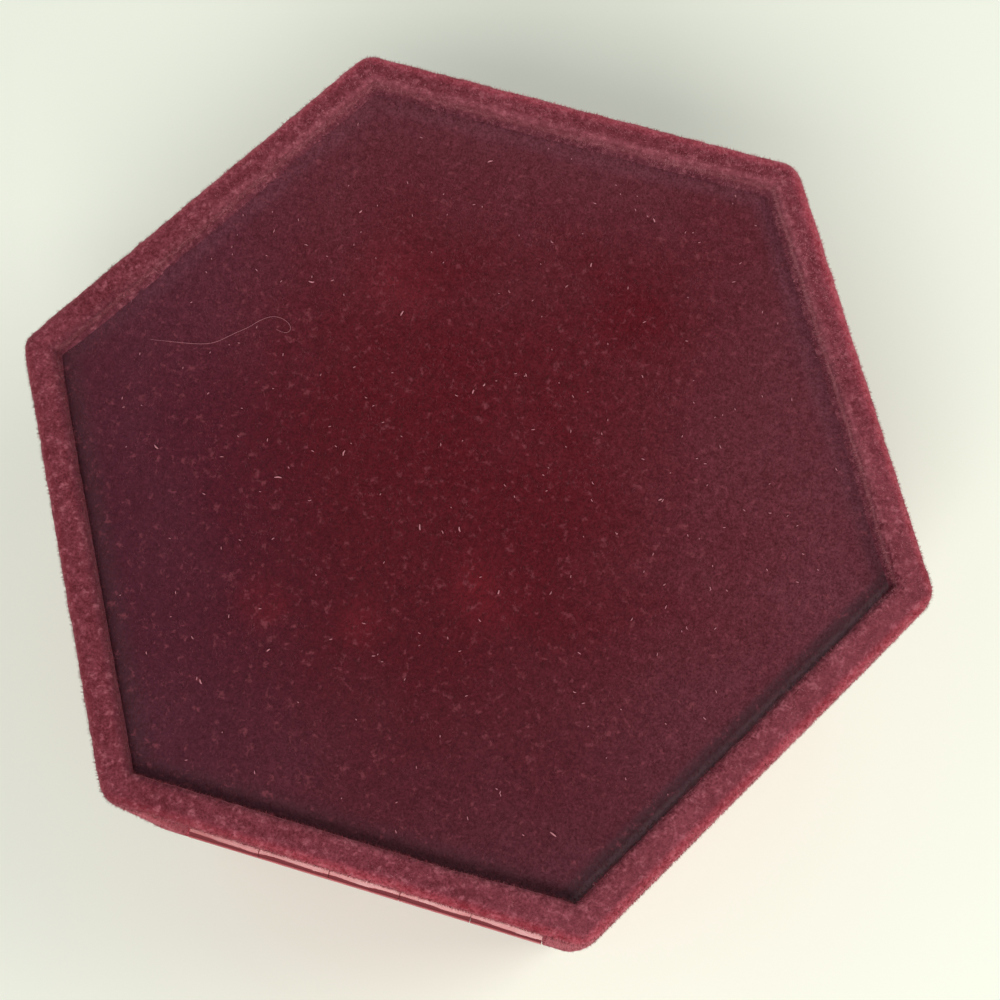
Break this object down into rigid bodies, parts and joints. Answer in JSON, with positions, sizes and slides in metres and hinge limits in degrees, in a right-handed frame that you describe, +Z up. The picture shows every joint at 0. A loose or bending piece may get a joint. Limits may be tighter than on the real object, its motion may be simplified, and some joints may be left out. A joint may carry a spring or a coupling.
{
  "type": "trinket box",
  "caption": "Hexagonal velvet-covered trinket box with a raised rim round a recessed top, a padded, lined tray and a lid hinged along its back side.",
  "frame": {"origin": "middle of the underside, on the surface the box stands on", "axes": "+Z up; +Y towards the hinge at the back; X along the hinge, between two corners of the hexagon"},
  "size_m": [0.1048, 0.0922, 0.057],
  "materials": {
    "core_plastic": "matte moulded core",
    "velvet": "short-pile velvet",
    "lining_velvet": "short-pile velvet over card",
    "satin": "satin over foam",
    "underside_felt": "felt paper over card",
    "card": "stiff grey-brown card",
    "hinge_enamel": "gloss enamel on rolled steel",
    "pin_steel": "drawn steel wire"
  },
  "bodies": {
    "base": {"base_shell": "core_plastic", "base_velvet": "velvet", "base_underside_card": "underside_felt", "base_floor_card": "card", "base_cushion": "lining_velvet", "hinge_leaf_base": "hinge_enamel", "hinge_rivets_base": "pin_steel", "hinge_pin": "pin_steel", "base_lining_back": "lining_velvet", "base_lining_back_left": "lining_velvet", "base_lining_front_left": "lining_velvet", "base_lining_front": "lining_velvet", "base_lining_front_right": "lining_velvet", "base_lining_back_right": "lining_velvet"},
    "lid": {"lid_shell": "core_plastic", "lid_velvet": "velvet", "lid_top_board": "card", "lid_top_velvet": "velvet", "lid_pad_card": "card", "lid_pad": "satin", "hinge_leaf_lid": "hinge_enamel", "hinge_rivets_lid": "pin_steel", "lid_lining_back": "lining_velvet", "lid_lining_back_left": "lining_velvet", "lid_lining_front_left": "lining_velvet", "lid_lining_front": "lining_velvet", "lid_lining_front_right": "lining_velvet", "lid_lining_back_right": "lining_velvet"}
  },
  "joints": [
    {"name": "lid_hinge", "type": "hinge", "parent": "base", "child": "lid", "pos_m": [0, 0.04475, 0.028], "axis": [-1, 0, 0], "range_deg": [0, 95]}
  ]
}
